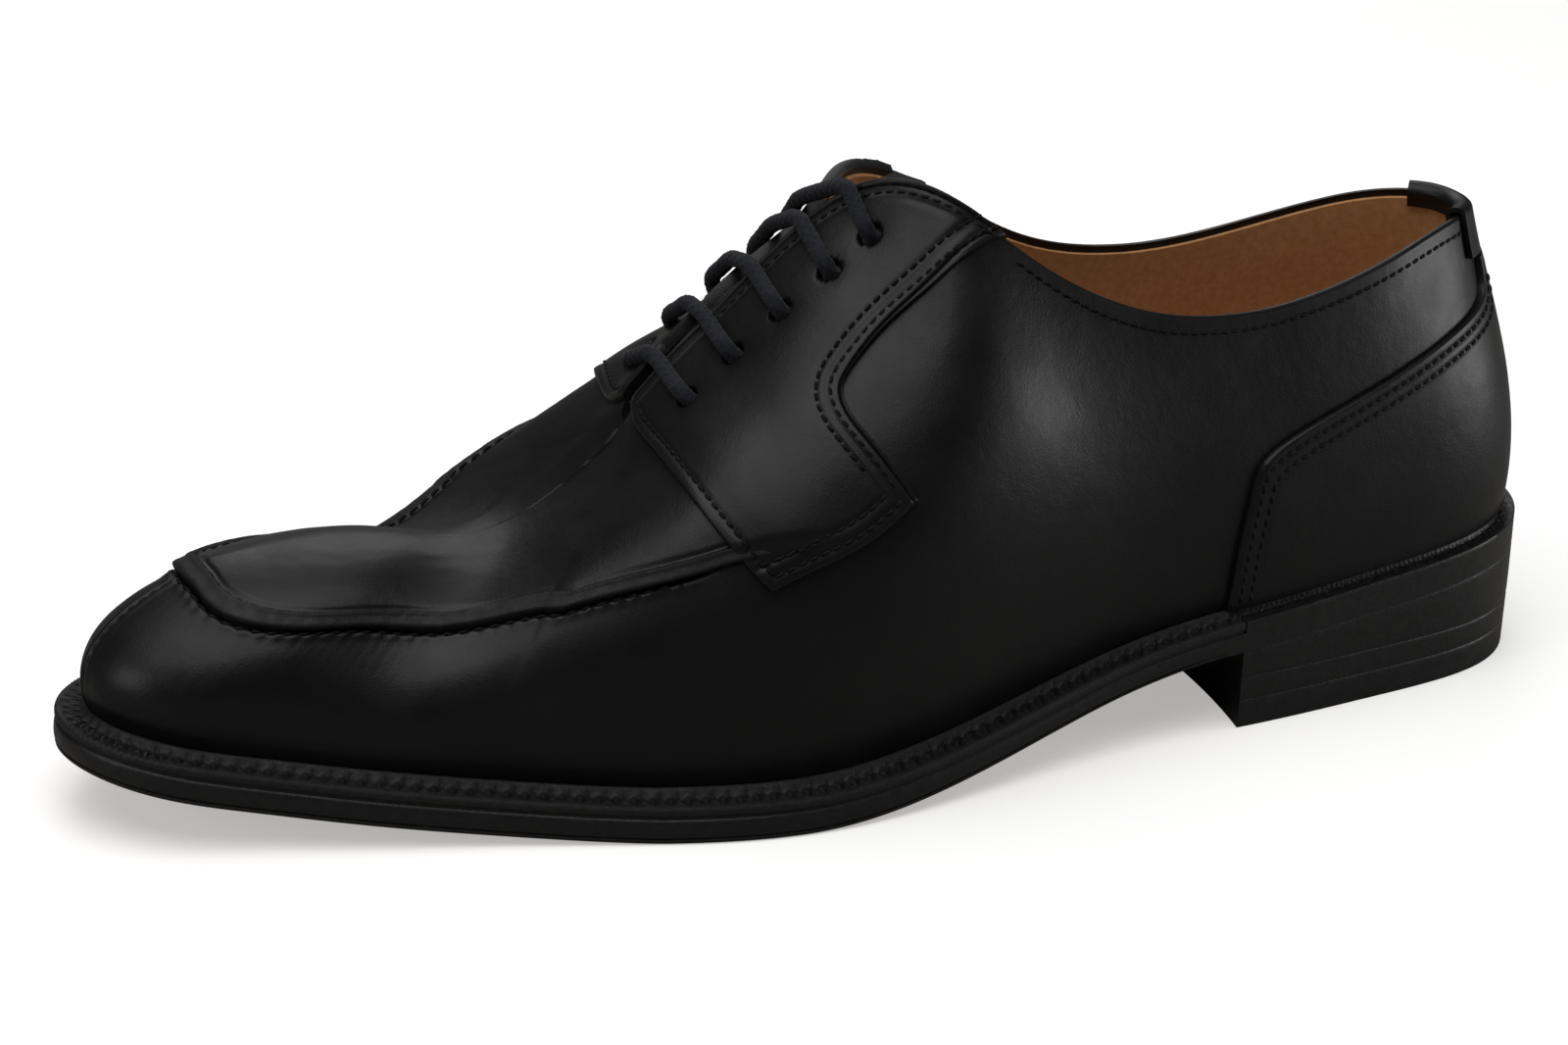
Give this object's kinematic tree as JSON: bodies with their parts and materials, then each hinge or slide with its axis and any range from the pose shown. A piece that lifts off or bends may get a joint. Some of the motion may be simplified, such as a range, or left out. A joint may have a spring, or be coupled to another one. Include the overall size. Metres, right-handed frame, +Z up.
{
  "type": "split toe derby shoe",
  "caption": "Left lace-up derby shoe with a raised apron seam, a split toe seam, welted sole, stacked heel, and a hollow leather upper with laces and tongue.",
  "frame": {"origin": "middle of the shoe's plan box, on the floor plane", "axes": "+Z up, +Y from toe to heel, +X towards the outer side of the left foot"},
  "size_m": [0.1016, 0.3007, 0.1121],
  "materials": {
    "calf_black": "black smooth calf leather, satin gloss",
    "edge_black": "dyed and waxed leather edge, semi-gloss",
    "welt_black": "dyed welt leather, dull with wheel marks",
    "sole_leather": "reddish tan sole leather, matte",
    "lining_tan": "tan lining leather, matte",
    "lace_navy": "round braided lace, matte"
  },
  "bodies": {
    "root": {"outsole": "sole_leather", "heel_top_piece": "edge_black", "heel_lift_2": "edge_black", "heel_lift_1": "edge_black", "welt": "welt_black", "heel_rand": "edge_black", "insole": "lining_tan", "upper": "calf_black", "apron": "calf_black", "heel_counter": "calf_black", "facing_outer": "calf_black", "facing_inner": "calf_black", "tongue": "calf_black", "collar_tab": "calf_black", "laces": "lace_navy"}
  },
  "joints": []
}
